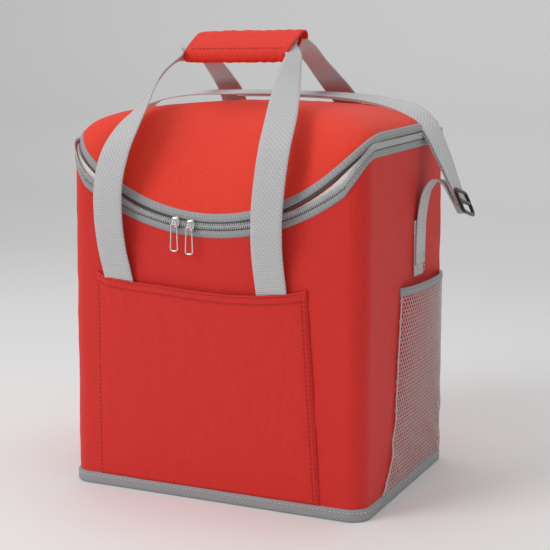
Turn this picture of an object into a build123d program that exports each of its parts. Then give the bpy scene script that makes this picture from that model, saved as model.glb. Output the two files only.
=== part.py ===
from build123d import *
import os
from math import cos, hypot, radians, sin

# Insulated cooler bag with zipped lid, two carry handles and a shoulder strap.
# Millimetres.  Origin under the middle of the base, front face towards -Y, +Z up.

# Driving dimensions ---------------------------------------------------------
body_width = 348
body_depth = 264
corner_radius = 22
rim_height = 382
rim_slope = 2.27
wall_top = 400

cover_thickness = 1.5
foam_thickness = 5
liner_thickness = 1

# The zip dips in a circular arc across the front and climbs a little towards the back.
# rim_height is at the back edge of the dip, rim_slope is in degrees.
dip_radius = 220
dip_centre_height = 516
dip_back_edge = -95
seam_gap = 0.4
coil_height = 2.6
binding_height = 8
binding_proud = 1.2
coil_proud = 1.6
zip_back_end = 118
base_binding_height = 13
base_binding_proud = 2

# Crown of the lid, front to back (y, z) and side to side (x, z).
lid_profile_front_back = [
    (-132, 352), (-126, 370), (-108, 389), (-70, 406), (0, 420), (60, 425), (110, 423), (132, 418),
]
lid_profile_half_width = [(174, 402), (166, 408), (140, 415), (100, 421), (0, 426)]

webbing_thickness = 2.2
webbing_width = 35

# Front slip pocket outline (x, z); the top edge sags.
front_pocket_outline = [
    (-138, 13.4), (127, 13.4), (112, 236), (90, 231), (55, 227), (22, 226), (-8, 227),
    (-59, 231), (-94, 232), (-125, 235), (-138, 241),
]
front_pocket_depth = 6.5
pocket_fabric = 1.2
hem_height = 10

# Mesh pocket on the right side, outline seen from the right (y, z).
side_pocket_outline = [(-80, 13.4), (-55, 45), (-42, 85), (-30, 218), (116, 218), (116, 13.4)]
side_pocket_top = 218
side_pocket_mouth = 13
side_binding_height = 9

# Handles: side view of each webbing loop (y, z).
front_handle_path = [
    (-137, 241), (-146, 285), (-150, 315), (-150, 345), (-140, 378), (-112, 412), (-75, 440),
    (-42, 462),
]
rear_handle_path = [
    (134.5, 239.5), (139, 300), (141, 392), (134, 425), (108, 450), (65, 474), (34, 493),
    (20, 499),
]
# Front view of the left and right legs (x of outer edge, x of inner edge, z).
left_leg = [
    (-126.5, -91.5, 200), (-126.5, -91.5, 238), (-134.5, -99.5, 300), (-132.5, -97.5, 350),
    (-129, -95, 400), (-122, -92, 440), (-112, -86, 478), (-112, -86, 510),
]
right_leg = [
    (89.5, 54.5, 200), (89.5, 54.5, 238), (87.5, 52.5, 300), (88.5, 53.5, 350), (81, 47, 400),
    (75, 44, 440), (70, 45, 478), (70, 45, 510),
]

# Grip: the handles meet here, leaning towards the front.
grip_lean = 38
grip_centre = (-2, 486)
grip_left = -84
grip_right = 42
grip_half_width = 19
grip_half_thickness = 3
front_layer = 4.6

# Shoulder strap seen from the front (x, height above the tab pivot).
strap_width = 30
strap_thickness = 1.8
strap_pivot = (32, 262)
strap_tilt = 10
shoulder_path = [
    (-177.4, 2), (-180, 30), (-190, 80), (-197, 122), (-192, 150), (-176, 164), (-150, 171),
    (-110, 174), (-20, 175), (60, 174), (110, 171), (144, 165), (168, 155), (182, 143),
    (193, 127), (203, 104), (212, 79),
]
short_path = [(177.4, 2), (178, 30), (180, 56), (188, 74), (198, 73), (208, 58), (216, 44)]
adjuster_centre = (224, 54)
adjuster_angle = -62

slider_offsets = (-38, -20)
pull_length = 32
pull_width = 10
wire_diameter = 1.6


# Shared geometry ------------------------------------------------------------
def column(inset, bottom, top):
    """Upright rounded box, drawn in from the outside of the bag by inset."""
    outline = RectangleRounded(
        body_width - 2 * inset, body_depth - 2 * inset, corner_radius - inset
    )
    return Pos(0, 0, bottom) * extrude(outline, top - bottom)


def below_seam(drop):
    """Everything lower than the zip line, with the line moved down by drop."""
    block = Pos(0, 0, -250) * Box(2 * body_width, 4 * body_depth, 500)
    block = Pos(0, dip_back_edge, rim_height - drop) * Rot(rim_slope, 0, 0) * block
    front = -body_depth / 2 - 60
    length = dip_back_edge - front
    middle = (dip_back_edge + front) / 2
    dip = Cylinder(dip_radius + drop, length, rotation=(90, 0, 0))
    return block - Pos(0, middle, dip_centre_height) * dip


def behind(y):
    """Everything further back than y."""
    return Pos(0, y + body_depth, rim_height / 2) * Box(
        3 * body_width, 2 * body_depth, 4 * rim_height
    )


def crown(profile, plane, inset):
    """Long solid whose top is the given profile, lowered by inset."""
    half = max(abs(point[0]) for point in profile)
    stretch = (half - inset) / half
    points = [(a * stretch, b - 1.1 * inset) for a, b in profile]
    top = Spline(*points)
    first = points[0]
    last = points[-1]
    sides = Polyline(
        first, (first[0], 100), (last[0], 100), last
    )
    face = make_face(top.edges() + sides.edges())
    return extrude(plane * face, amount=body_width, both=True)


def lid_solid(inset):
    """Solid filled by the lid when drawn in by inset."""
    half = lid_profile_half_width
    full = [(-x, z) for x, z in half] + [(x, z) for x, z in reversed(half[:-1])]
    solid = column(inset, 200, 440)
    solid = solid & crown(lid_profile_front_back, Plane.YZ, inset)
    return solid & crown(full, Plane.XZ, inset)


def lid_layer(outer, inner):
    """Layer of the lid between two insets, above the zip line."""
    return lid_solid(outer) - lid_solid(inner) - below_seam(-seam_gap)


def wall_layer(outer, inner, bottom):
    """Layer of the side walls between two insets, below the zip line."""
    ring = column(outer, bottom, wall_top) - column(inner, bottom, wall_top)
    return ring & below_seam(seam_gap)


def ribbon(path, thickness):
    """Closed face following a smooth path with the given thickness."""
    left = []
    right = []
    for i, (a, b) in enumerate(path):
        before = path[max(i - 1, 0)]
        after = path[min(i + 1, len(path) - 1)]
        along_a = after[0] - before[0]
        along_b = after[1] - before[1]
        length = hypot(along_a, along_b)
        step_a = -along_b / length * thickness / 2
        step_b = along_a / length * thickness / 2
        left.append((a + step_a, b + step_b))
        right.append((a - step_a, b - step_b))
    edges = Spline(*left).edges() + Spline(*right).edges()
    edges += Line(left[0], right[0]).edges() + Line(left[-1], right[-1]).edges()
    return make_face(edges)


def grip_point(along, out):
    """Side-view point in the leaning grip: along its width, out from its middle."""
    lean = radians(grip_lean)
    y = grip_centre[0] + along * cos(lean) - out * sin(lean)
    z = grip_centre[1] + along * sin(lean) + out * cos(lean)
    return (y, z)


def grip_block(left, right, low, high, inner, outer):
    """Box in the leaning grip frame."""
    corners = [
        grip_point(low, inner), grip_point(high, inner), grip_point(high, outer),
        grip_point(low, outer),
    ]
    face = make_face(Polyline(*corners, close=True).edges())
    return Pos(left, 0, 0) * extrude(Plane.YZ * face, right - left)


# Body -----------------------------------------------------------------------
def outer_shell():
    return wall_layer(0, cover_thickness, cover_thickness)


def wall_insulation():
    inner = cover_thickness + foam_thickness
    return wall_layer(cover_thickness, inner, cover_thickness + foam_thickness)


def wall_liner():
    outer = cover_thickness + foam_thickness
    return wall_layer(outer, outer + liner_thickness, outer)


def base_panel():
    return column(0, 0, cover_thickness)


def base_insulation():
    return column(cover_thickness, cover_thickness, cover_thickness + foam_thickness)


def base_liner():
    inset = cover_thickness + foam_thickness + liner_thickness
    bottom = cover_thickness + foam_thickness
    return column(inset, bottom, bottom + liner_thickness)


def base_binding():
    bottom = 0.6
    outer = column(-base_binding_proud, bottom, base_binding_height)
    return outer - column(0, bottom, base_binding_height)


def lower_zip_ring(proud, high, low):
    ring = column(-proud, 200, wall_top) - column(0, 200, wall_top)
    return (ring & below_seam(high)) - below_seam(low)


def lower_zip_coil():
    return lower_zip_ring(coil_proud, seam_gap, coil_height) - behind(zip_back_end)


def lower_zip_binding():
    low = coil_height + binding_height
    return lower_zip_ring(binding_proud, coil_height, low) - behind(zip_back_end)


def rear_hinge_binding():
    low = coil_height + binding_height
    return lower_zip_ring(binding_proud, seam_gap, low) & behind(zip_back_end + 0.2)


def front_pocket_block(inset, depth, extra_top):
    """Solid behind the pocket face, optionally carried up past its mouth."""
    outline = make_face(Polyline(*front_pocket_outline, close=True).edges())
    if inset:
        outline = offset(outline, -inset)
    block = extrude(Plane.XZ * outline, depth)
    if extra_top:
        block = block + Pos(0, 0, extra_top) * block
    return Pos(0, -body_depth / 2, 0) * block


def front_pocket():
    outer = front_pocket_block(0, front_pocket_depth, 0)
    inner = front_pocket_block(pocket_fabric, front_pocket_depth - pocket_fabric, 15)
    return outer - inner


def front_pocket_hem():
    band = front_pocket_block(0, front_pocket_depth + 0.8, 0)
    lower = Pos(0, 0, -hem_height) * front_pocket_block(0, front_pocket_depth + 5, 0)
    skin = front_pocket_block(0, front_pocket_depth, 0)
    inside = Pos(-13, -body_depth / 2, 235) * Box(249, 40, 40)
    return ((band - skin - lower) & inside).solids().sort_by(SortBy.VOLUME)[-1]


def side_pocket_block(inset, mouth):
    """Wedge that opens towards the top of the side pocket."""
    wall = body_width / 2
    top = side_pocket_top
    wedge = Polyline(
        (wall, 12), (wall + 1.2 - inset, 12), (wall + mouth, top), (wall, top), close=True
    )
    wedge = extrude(Plane.XZ * make_face(wedge.edges()), amount=300, both=True)
    outline = make_face(Polyline(*side_pocket_outline, close=True).edges())
    if inset:
        outline = offset(outline, -inset) + Pos(0, 10) * offset(outline, -inset)
    prism = extrude(Plane.YZ * outline, 300)
    return wedge & prism


def side_mesh_pocket():
    thickness = 0.9
    return side_pocket_block(0, side_pocket_mouth) - side_pocket_block(
        thickness, side_pocket_mouth - thickness
    )


def side_pocket_binding():
    wall = body_width / 2
    low = side_pocket_top
    length = side_pocket_outline[4][0] - side_pocket_outline[3][0]
    middle = (side_pocket_outline[4][0] + side_pocket_outline[3][0]) / 2
    outer = Box(side_pocket_mouth + 1, length, side_binding_height)
    inner = Box(side_pocket_mouth + 1, length - 3, side_binding_height)
    frame = outer - Pos(-2, 0, 0) * inner
    return Pos(wall + (side_pocket_mouth + 1) / 2, middle, low + side_binding_height / 2) * frame


def strap_tab(side):
    tab = Box(2, strap_width, 62)
    tab = fillet(tab.edges().filter_by(Axis.X), 2)
    return Pos(side * (body_width / 2 + 1), strap_pivot[0], strap_pivot[1] + 2) * tab


def leg_outline(leg):
    outer = [(x, z) for x, inner, z in leg]
    inner = [(x, z) for outer_x, x, z in reversed(leg)]
    return make_face(Polyline(*outer, *inner, close=True).edges())


def handle_ends(wall_y, outward):
    """Sewn ends of one handle, flat against the wall."""
    ends = []
    for leg in (left_leg, right_leg):
        middle = (leg[0][0] + leg[0][1]) / 2
        end = Box(webbing_width, webbing_thickness, 44)
        ends.append(Pos(middle, wall_y + outward * webbing_thickness / 2, 214) * end)
    return Compound(ends)


# Lid ------------------------------------------------------------------------
def lid_cover():
    return lid_layer(0, cover_thickness)


def lid_insulation():
    return lid_layer(cover_thickness, cover_thickness + foam_thickness)


def lid_liner():
    outer = cover_thickness + foam_thickness
    return lid_layer(outer, outer + liner_thickness)


def upper_zip_ring(proud, low, high):
    skin = lid_solid(-proud) - lid_solid(0)
    return (skin & below_seam(-high)) - below_seam(-low) - behind(zip_back_end)


def upper_zip_coil():
    return upper_zip_ring(coil_proud, seam_gap, coil_height)


def upper_zip_binding():
    return upper_zip_ring(binding_proud, coil_height, coil_height + binding_height + 2)


# Zip sliders and pulls ------------------------------------------------------
def slider_place(offset_x):
    """Position and tilt of a slider on the dipping zip line."""
    drop = (dip_radius**2 - offset_x**2) ** 0.5
    tilt = -offset_x / dip_radius * 57.3
    front = -body_depth / 2 - coil_proud - 0.4
    return Pos(offset_x, front, dip_centre_height - drop) * Rot(0, tilt, 0)


def zip_slider(offset_x):
    body = Pos(0, -2, 0) * Box(10, 4, 12)
    body = fillet(body.edges().filter_by(Axis.Y), 2.5)
    bail = Pos(0, -6.2, 0) * Box(2.8, 4.6, 8) - Pos(0, -5.4, 0) * Box(4, 2.8, 5.2)
    return slider_place(offset_x) * (body + bail)


def zip_pull(offset_x):
    """Wire loop hanging from the slider."""
    half = pull_width / 2 - wire_diameter / 2
    drop = pull_length - wire_diameter
    path = Polyline((-half, 0), (half, 0), (half, -drop), (-half, -drop), close=True)
    loop = fillet(make_face(path.edges()).vertices(), 2.4)
    centre_line = Plane.XZ * loop
    wire = centre_line.face().outer_wire()
    start = wire @ 0
    section = Plane(origin=start, z_dir=wire % 0) * Circle(wire_diameter / 2)
    ring = sweep(section, path=wire)
    place = slider_place(offset_x)
    hang = place.position
    return Pos(hang.X, hang.Y - 5.4, hang.Z) * ring


# Handles and grip -----------------------------------------------------------
def handle_webbing(path, bar_start, bar_end):
    """Webbing loop: two legs joined by a bar along the grip."""
    side_view = ribbon(path + [bar_start, bar_end], webbing_thickness)
    sheet = extrude(Plane.YZ * side_view, amount=200, both=True)
    legs = [
        extrude(Plane.XZ * leg_outline(leg), amount=200, both=True)
        for leg in (left_leg, right_leg)
    ]
    handle = (sheet & legs[0]) + (sheet & legs[1])
    bar = sheet & grip_block(-112, 70, -grip_half_width + 1, grip_half_width - 1, -9, 12)
    return handle + bar


def front_handle_webbing():
    low = grip_point(-grip_half_width + 1, front_layer)
    high = grip_point(grip_half_width - 1, front_layer)
    return handle_webbing(front_handle_path, low, high)


def rear_handle_webbing():
    high = grip_point(grip_half_width - 1, 0)
    low = grip_point(-grip_half_width + 1, 0)
    return handle_webbing(rear_handle_path, high, low)


def grip_sleeve():
    block = grip_block(
        grip_left, grip_right, -grip_half_width, grip_half_width, -grip_half_thickness,
        grip_half_thickness,
    )
    return block - rear_handle_webbing()


def loop_patch():
    edge = -grip_half_width
    return grip_block(grip_left + 8, grip_right - 8, edge - 0.9, edge, -2.6, 2.4)


def grip_flap():
    back = grip_half_width + 0.6
    front = -grip_half_width - 2.5
    inner = 6.2
    fabric = 1.5
    outer = grip_block(grip_left, grip_right, front - fabric, back + fabric, -3.2, inner + fabric)
    return outer - grip_block(grip_left - 1, grip_right + 1, front, back, -5, inner)


def hook_patch():
    front = -grip_half_width - 2.5
    return grip_block(grip_left + 8, grip_right - 8, front, front + 1, -2.6, 2.4)


# Shoulder strap -------------------------------------------------------------
def place_strap(shape):
    """Lean a shape drawn upright at the tab pivot back over the lid."""
    return Pos(0, strap_pivot[0], strap_pivot[1]) * Rot(-strap_tilt, 0, 0) * shape


def strap_ribbon(path):
    face = Plane.XZ * ribbon(path, strap_thickness)
    return place_strap(extrude(face, amount=strap_width / 2, both=True))


def strap_adjuster():
    """Three-bar slide between the short and the long strap."""
    frame = Box(32, strap_width + 8, 3.4)
    slots = Box(8, strap_width + 1, 5)
    frame = frame - Pos(-8, 0, 0) * slots - Pos(8, 0, 0) * slots
    frame = fillet(frame.edges().filter_by(Axis.Z).group_by(SortBy.LENGTH)[-1], 1)
    turned = Rot(0, -adjuster_angle, 0) * frame
    return place_strap(Pos(adjuster_centre[0], 0, adjuster_centre[1]) * turned)


def build():
    front = -body_depth / 2
    back = body_depth / 2
    return {
        "outer_shell": outer_shell(),
        "wall_insulation": wall_insulation(),
        "wall_liner": wall_liner(),
        "base_panel": base_panel(),
        "base_insulation": base_insulation(),
        "base_liner": base_liner(),
        "base_binding": base_binding(),
        "lower_zip_coil": lower_zip_coil(),
        "lower_zip_binding": lower_zip_binding(),
        "rear_hinge_binding": rear_hinge_binding(),
        "front_pocket": front_pocket(),
        "front_pocket_hem": front_pocket_hem(),
        "side_mesh_pocket": side_mesh_pocket(),
        "side_pocket_binding": side_pocket_binding(),
        "strap_tab_right": strap_tab(1),
        "strap_tab_left": strap_tab(-1),
        "front_handle_ends": handle_ends(front, -1),
        "rear_handle_ends": handle_ends(back, 1),
        "lid_cover": lid_cover(),
        "lid_insulation": lid_insulation(),
        "lid_liner": lid_liner(),
        "upper_zip_coil": upper_zip_coil(),
        "upper_zip_binding": upper_zip_binding(),
        "zip_slider_left": zip_slider(slider_offsets[0]),
        "zip_slider_right": zip_slider(slider_offsets[1]),
        "zip_pull_left": zip_pull(slider_offsets[0]),
        "zip_pull_right": zip_pull(slider_offsets[1]),
        "front_handle_webbing": front_handle_webbing(),
        "rear_handle_webbing": rear_handle_webbing(),
        "grip_sleeve": grip_sleeve(),
        "loop_patch": loop_patch(),
        "grip_flap": grip_flap(),
        "hook_patch": hook_patch(),
        "shoulder_strap": strap_ribbon(shoulder_path),
        "short_strap": strap_ribbon(short_path),
        "strap_adjuster": strap_adjuster(),
    }


os.makedirs("parts", exist_ok=True)
for name, shape in build().items():
    export_step(shape, f"parts/{name}.step")
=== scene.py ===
import math
import bpy
import numpy as np
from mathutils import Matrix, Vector, noise


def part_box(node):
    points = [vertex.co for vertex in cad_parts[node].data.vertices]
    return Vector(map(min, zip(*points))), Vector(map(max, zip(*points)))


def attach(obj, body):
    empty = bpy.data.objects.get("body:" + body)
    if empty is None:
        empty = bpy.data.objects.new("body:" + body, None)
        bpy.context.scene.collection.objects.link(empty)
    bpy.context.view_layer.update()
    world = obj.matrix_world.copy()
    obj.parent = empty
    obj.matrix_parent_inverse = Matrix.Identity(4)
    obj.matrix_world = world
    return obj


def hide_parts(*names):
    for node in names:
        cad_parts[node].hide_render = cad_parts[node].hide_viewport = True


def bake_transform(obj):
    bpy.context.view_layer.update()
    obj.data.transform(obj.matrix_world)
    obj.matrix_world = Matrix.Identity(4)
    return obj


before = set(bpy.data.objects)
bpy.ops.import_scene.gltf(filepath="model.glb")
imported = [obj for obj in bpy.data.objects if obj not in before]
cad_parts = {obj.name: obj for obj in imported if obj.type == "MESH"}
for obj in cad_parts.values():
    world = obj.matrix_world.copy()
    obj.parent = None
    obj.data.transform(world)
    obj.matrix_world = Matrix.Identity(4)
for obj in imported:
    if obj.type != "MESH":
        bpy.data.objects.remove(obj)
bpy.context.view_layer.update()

# Everything is in metres: front towards -Y, +Z up, origin under the middle of the base.

BODY = "bag_body"
LID = "lid"

body_low, body_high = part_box("outer_shell")
HALF_W = body_high[0]
HALF_D = body_high[1]
RIM = 0.382
RIM_SLOPE = 0.0396
DIP_BACK = -0.095
DIP_RADIUS = 0.220
DIP_CENTRE = 0.516
BAND_RIPPLE = 0.048
LID_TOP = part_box("lid_cover")[1][2] - 0.001
GRIP_LOW, GRIP_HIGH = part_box("grip_sleeve")
POCKET_LOW, POCKET_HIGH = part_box("front_pocket")
SIDE_LOW, SIDE_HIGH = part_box("side_mesh_pocket")


# Materials ------------------------------------------------------------------
def new_material(name, colour, roughness):
    m = bpy.data.materials.new(name)
    m.use_nodes = True
    shader = m.node_tree.nodes["Principled BSDF"]
    shader.inputs["Base Color"].default_value = (*colour, 1)
    shader.inputs["Roughness"].default_value = roughness
    return m, m.node_tree, shader


def tint(tree, shader, coord, colour, amount, scale, detail=3.0):
    """Uneven colour: noise darkens and lightens the base colour."""
    speckle = tree.nodes.new("ShaderNodeTexNoise")
    speckle.inputs["Scale"].default_value = scale
    speckle.inputs["Detail"].default_value = detail
    ramp = tree.nodes.new("ShaderNodeValToRGB")
    ramp.color_ramp.elements[0].position = 0.3
    ramp.color_ramp.elements[1].position = 0.7
    ramp.color_ramp.elements[0].color = (*[c * (1 - amount) for c in colour], 1)
    ramp.color_ramp.elements[1].color = (*[min(1, c * (1 + amount)) for c in colour], 1)
    tree.links.new(coord, speckle.inputs["Vector"])
    tree.links.new(speckle.outputs["Fac"], ramp.inputs["Fac"])
    tree.links.new(ramp.outputs["Color"], shader.inputs["Base Color"])
    return ramp


def wave(tree, coord, direction, scale, distortion=0.0):
    bands = tree.nodes.new("ShaderNodeTexWave")
    bands.bands_direction = direction
    bands.inputs["Scale"].default_value = scale
    bands.inputs["Distortion"].default_value = distortion
    tree.links.new(coord, bands.inputs["Vector"])
    return bands.outputs["Fac"]


def bump(tree, shader, height, strength, distance):
    node = tree.nodes.new("ShaderNodeBump")
    node.inputs["Strength"].default_value = strength
    node.inputs["Distance"].default_value = distance
    tree.links.new(height, node.inputs["Height"])
    tree.links.new(node.outputs["Normal"], shader.inputs["Normal"])


def math_node(tree, kind, a, b):
    node = tree.nodes.new("ShaderNodeMath")
    node.operation = kind
    for socket, value in ((node.inputs[0], a), (node.inputs[1], b)):
        if isinstance(value, (int, float)):
            socket.default_value = value
        else:
            tree.links.new(value, socket)
    return node.outputs[0]


def woven(name, colour, roughness=0.62, thread=0.0011, depth=0.00025, sheen=0.05, amount=0.07):
    """Plain-weave polyester cloth: threads both ways and soft crumpling."""
    m, tree, shader = new_material(name, colour, roughness)
    coord = tree.nodes.new("ShaderNodeTexCoord").outputs["Object"]
    shader.inputs["Sheen Weight"].default_value = sheen
    shader.inputs["Sheen Roughness"].default_value = 0.5
    tint(tree, shader, coord, colour, amount, 420, 4)
    scale = 0.314 / thread
    across = wave(tree, coord, "X", scale, 0.4)
    along = wave(tree, coord, "Y", scale, 0.4)
    upward = wave(tree, coord, "Z", scale, 0.4)
    crumple = tree.nodes.new("ShaderNodeTexNoise")
    crumple.inputs["Scale"].default_value = 38
    crumple.inputs["Detail"].default_value = 3
    tree.links.new(coord, crumple.inputs["Vector"])
    threads = math_node(tree, "ADD", math_node(tree, "ADD", across, along), upward)
    soft = math_node(tree, "MULTIPLY", crumple.outputs["Fac"], 3.4)
    bump(tree, shader, math_node(tree, "ADD", threads, soft), 0.55, depth)
    return m


def webbing(name, colour, rib=0.0021, depth=0.0005, amount=0.10):
    """Ribbed narrow weave that follows the strap: ribs across, fine twill along."""
    m, tree, shader = new_material(name, colour, 0.58)
    uv = tree.nodes.new("ShaderNodeTexCoord").outputs["UV"]
    shader.inputs["Sheen Weight"].default_value = 0.05
    ribs = wave(tree, uv, "Y", 0.314 / rib, 0.15)
    twill = wave(tree, uv, "DIAGONAL", 0.314 / 0.0026, 0.2)
    height = math_node(tree, "ADD", ribs, math_node(tree, "MULTIPLY", twill, 0.7))
    speckle = tree.nodes.new("ShaderNodeTexNoise")
    speckle.inputs["Scale"].default_value = 700
    tree.links.new(uv, speckle.inputs["Vector"])
    # Painted shade and light on the weave: the colour is darker in the rib and twill grooves and lighter on
    # the ridges, following the bump height; the speckle adds random tone.
    shade = math_node(tree, "MULTIPLY", height, 0.5)
    mixed = math_node(tree, "ADD", shade, math_node(tree, "MULTIPLY", speckle.outputs["Fac"], 0.4))
    ramp = tree.nodes.new("ShaderNodeValToRGB")
    ramp.color_ramp.elements[0].position = 0.15
    ramp.color_ramp.elements[1].position = 0.95
    ramp.color_ramp.elements[0].color = (*[c * (1 - 2.2 * amount) for c in colour], 1)
    ramp.color_ramp.elements[1].color = (*[c * (1 + amount) for c in colour], 1)
    tree.links.new(mixed, ramp.inputs["Fac"])
    tree.links.new(ramp.outputs["Color"], shader.inputs["Base Color"])
    bump(tree, shader, height, 0.8, depth)
    return m


def plain(name, colour, roughness, metallic=0.0, coat=0.0, grain=220, amount=0.05, depth=0.0001):
    """Moulded plastic, metal, film or foam with faint grain."""
    m, tree, shader = new_material(name, colour, roughness)
    coord = tree.nodes.new("ShaderNodeTexCoord").outputs["Object"]
    shader.inputs["Metallic"].default_value = metallic
    shader.inputs["Coat Weight"].default_value = coat
    tint(tree, shader, coord, colour, amount, grain)
    fine = tree.nodes.new("ShaderNodeTexNoise")
    fine.inputs["Scale"].default_value = grain * 3
    tree.links.new(coord, fine.inputs["Vector"])
    bump(tree, shader, fine.outputs["Fac"], 0.4, depth)
    return m


# Lid and body are one red cloth: the lid copy is painted lighter than the body copy, as painted light on the
# upward-facing lid.
LID_RED_PAINTED_LIGHT = woven("lid_red_cloth_painted_light", (0.90, 0.034, 0.008), 0.66)
BODY_RED = woven("body_red_cloth", (0.74, 0.013, 0.006), 0.62)
POCKET_RED = woven("pocket_red_cloth", (0.74, 0.013, 0.006), 0.62)
GRIP_RED = woven("grip_red_cloth", (0.84, 0.026, 0.010), 0.66)
THREAD_RED = plain("red_thread", (0.40, 0.018, 0.014), 0.6)
THREAD_GREY = plain("grey_thread", (0.62, 0.62, 0.62), 0.6)
WEBBING = webbing("grey_webbing", (0.60, 0.60, 0.61))
STRAP = webbing("grey_strap_webbing", (0.66, 0.66, 0.67))
BINDING = webbing("grey_binding", (0.36, 0.36, 0.37), 0.0016, 0.0003)
TAPE = webbing("zip_tape", (0.07, 0.07, 0.075), 0.0013, 0.0002)
COIL = plain("zip_coil_nylon", (0.55, 0.55, 0.56), 0.35)
NET = plain("net_thread", (0.66, 0.60, 0.60), 0.6)
NICKEL = plain("nickel", (0.80, 0.79, 0.77), 0.2, metallic=1.0)
BLACK = plain("black_moulding", (0.012, 0.012, 0.014), 0.32, coat=0.3)
HOOK_LOOP = plain("hook_and_loop", (0.012, 0.012, 0.013), 0.9, grain=900, depth=0.0006)
LINER = plain("silver_liner", (0.66, 0.67, 0.69), 0.3, metallic=0.35, grain=60, depth=0.0008)
FOAM = plain("white_foam", (0.82, 0.82, 0.80), 0.85, grain=500, depth=0.0003)


# Mesh helpers ---------------------------------------------------------------
def make(name, verts, faces, material, body, replaces=(), slot=None, uvs=None, smooth=True):
    mesh = bpy.data.meshes.new(name)
    mesh.from_pydata([tuple(map(float, v)) for v in verts], [], faces)
    mesh.update()
    if uvs is not None:
        layer = mesh.uv_layers.new(name="UVMap")
        for loop in mesh.loops:
            layer.data[loop.index].uv = uvs[loop.vertex_index]
    mesh.materials.append(material)
    if smooth:
        for polygon in mesh.polygons:
            polygon.use_smooth = True
    piece = bpy.data.objects.new(name, mesh)
    bpy.context.scene.collection.objects.link(piece)
    if body:
        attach(piece, body)
    if replaces:
        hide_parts(*replaces)
    return piece


def shell(name, outer, inner, wrap, material, body, **options):
    """Closed skin between two grids of points, rows by columns."""
    outer = np.asarray(outer)
    inner = np.asarray(inner)
    rows, cols = outer.shape[:2]
    count = rows * cols
    verts = np.concatenate([outer.reshape(-1, 3), inner.reshape(-1, 3)])
    faces = []
    last = cols if wrap else cols - 1
    for r in range(rows - 1):
        for c in range(last):
            d = (c + 1) % cols
            a, b = r * cols + c, r * cols + d
            e, f = a + cols, b + cols
            faces.append((a, b, f, e))
            faces.append((count + a, count + e, count + f, count + b))
    for c in range(last):
        d = (c + 1) % cols
        faces.append((c, count + c, count + d, d))
        e = (rows - 1) * cols
        faces.append((e + c, e + d, count + e + d, count + e + c))
    if not wrap:
        for r in range(rows - 1):
            a, b = r * cols, (r + 1) * cols
            faces.append((a, b, count + b, count + a))
            a, b = a + cols - 1, b + cols - 1
            faces.append((a, count + a, count + b, b))
    return make(name, verts, faces, material, body, **options)


def curve_points(control, count):
    """Smooth points through the control rows (any number of columns)."""
    control = np.asarray(control, float)
    step = np.linalg.norm(np.diff(control[:, :3], axis=0), axis=1) ** 0.5
    knots = np.concatenate([[0], np.cumsum(step)])
    padded = np.concatenate([[2 * control[0] - control[1]], control, [2 * control[-1] - control[-2]]])
    times = np.concatenate([[knots[0] - step[0]], knots, [knots[-1] + step[-1]]])
    result = []
    for t in np.linspace(knots[0], knots[-1], count):
        i = int(np.clip(np.searchsorted(knots, t, side="right") - 1, 0, len(control) - 2)) + 1
        p0, p1, p2, p3 = padded[i - 1:i + 3]
        t0, t1, t2, t3 = times[i - 1:i + 3]
        a1 = p0 + (p1 - p0) * (t - t0) / (t1 - t0)
        a2 = p1 + (p2 - p1) * (t - t1) / (t2 - t1)
        a3 = p2 + (p3 - p2) * (t - t2) / (t3 - t2)
        b1 = a1 + (a2 - a1) * (t - t0) / (t2 - t0)
        b2 = a2 + (a3 - a2) * (t - t1) / (t3 - t1)
        result.append(b1 + (b2 - b1) * (t - t1) / (t2 - t1))
    return np.array(result)


def unit(v):
    v = np.asarray(v, float)
    return v / np.maximum(np.linalg.norm(v, axis=-1, keepdims=True), 1e-9)


def strap(name, control, material, body, thickness=0.0018, count=90, curl=0.0, **options):
    """Flat webbing through rows of (x, y, z, across x, across y, across z, width)."""
    rows = curve_points(control, count)
    centre = rows[:, :3]
    along = unit(np.gradient(centre, axis=0))
    across = rows[:, 3:6]
    across = unit(across - along * np.sum(across * along, axis=1, keepdims=True))
    normal = np.cross(across, along)
    width = rows[:, 6]
    length = np.concatenate([[0], np.cumsum(np.linalg.norm(np.diff(centre, axis=0), axis=1))])
    steps = np.array([-1, -0.97, -0.75, -0.4, 0, 0.4, 0.75, 0.97, 1])
    half = np.array([0.45, 0.95, 1, 1, 1, 1, 1, 0.95, 0.45]) * thickness / 2
    verts, uvs, faces = [], [], []
    for i in range(count):
        ring = []
        for side in (1, -1):
            order = range(len(steps)) if side == 1 else range(len(steps) - 1, -1, -1)
            for k in order:
                offset = across[i] * steps[k] * width[i] / 2
                lift = side * half[k] + curl * steps[k] ** 2
                ring.append(centre[i] + offset + normal[i] * lift)
                uvs.append((steps[k] * width[i] / 2, length[i]))
        verts.extend(ring)
    size = 2 * len(steps)
    for i in range(count - 1):
        for k in range(size):
            a, b = i * size + k, i * size + (k + 1) % size
            faces.append((a, b, b + size, a + size))
    faces.append(tuple(range(size - 1, -1, -1)))
    faces.append(tuple((count - 1) * size + k for k in range(size)))
    return make(name, verts, faces, material, body, uvs=uvs, **options)


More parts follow.
